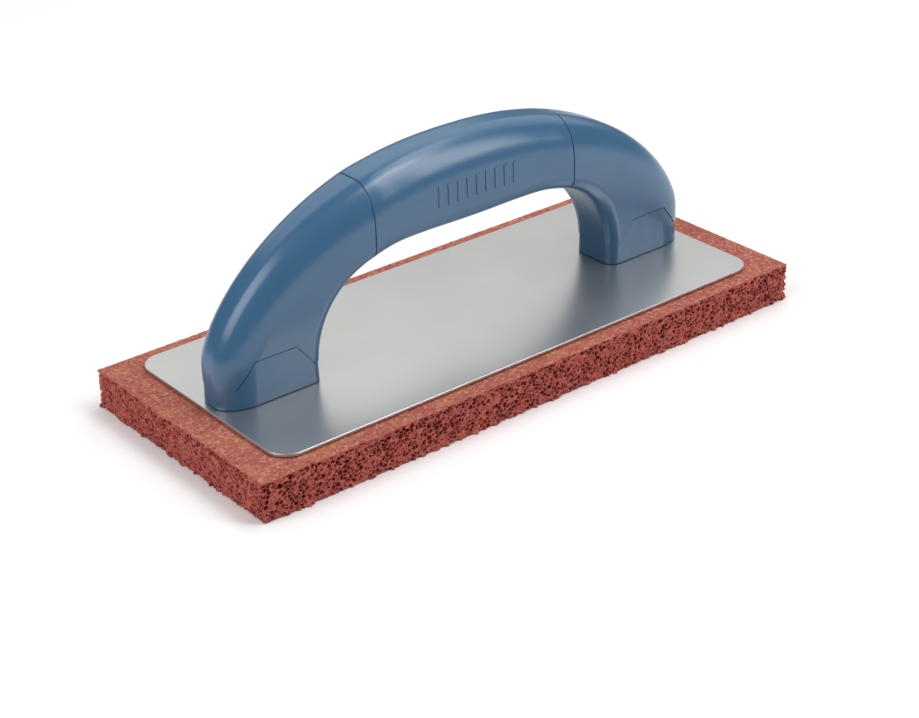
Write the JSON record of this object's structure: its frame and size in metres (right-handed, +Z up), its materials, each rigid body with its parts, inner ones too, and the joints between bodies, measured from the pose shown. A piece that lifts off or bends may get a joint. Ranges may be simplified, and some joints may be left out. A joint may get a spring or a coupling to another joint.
{
  "type": "rubber hand float",
  "caption": "Hand float for rendering and concrete: coarse-cell sponge rubber pad under a thin metal plate with a one-piece arched plastic handle.",
  "frame": {"origin": "centre of the pad's working face, the underside that rubs the wall or slab", "axes": "+X along the float's length, +Y across it, +Z up from the working face through the pad and plate to the handle"},
  "size_m": [0.2414, 0.1016, 0.0876],
  "materials": {
    "sponge_rubber": "open-cell red sponge rubber, coarse cut sides, smoother tan-red moulded skin on top",
    "adhesive": "dried contact adhesive, a thin dark line under the plate's edge",
    "plate_metal": "mill-finish sheet, soft blurred reflections, bright edge",
    "handle_plastic": "satin blue moulded plastic, solid colour",
    "screw_steel": "zinc-plated steel"
  },
  "bodies": {
    "root": {"rubber_pad": "sponge_rubber", "adhesive_layer": "adhesive", "backing_plate": "plate_metal", "handle": "handle_plastic", "handle_screws": "screw_steel"}
  },
  "joints": []
}
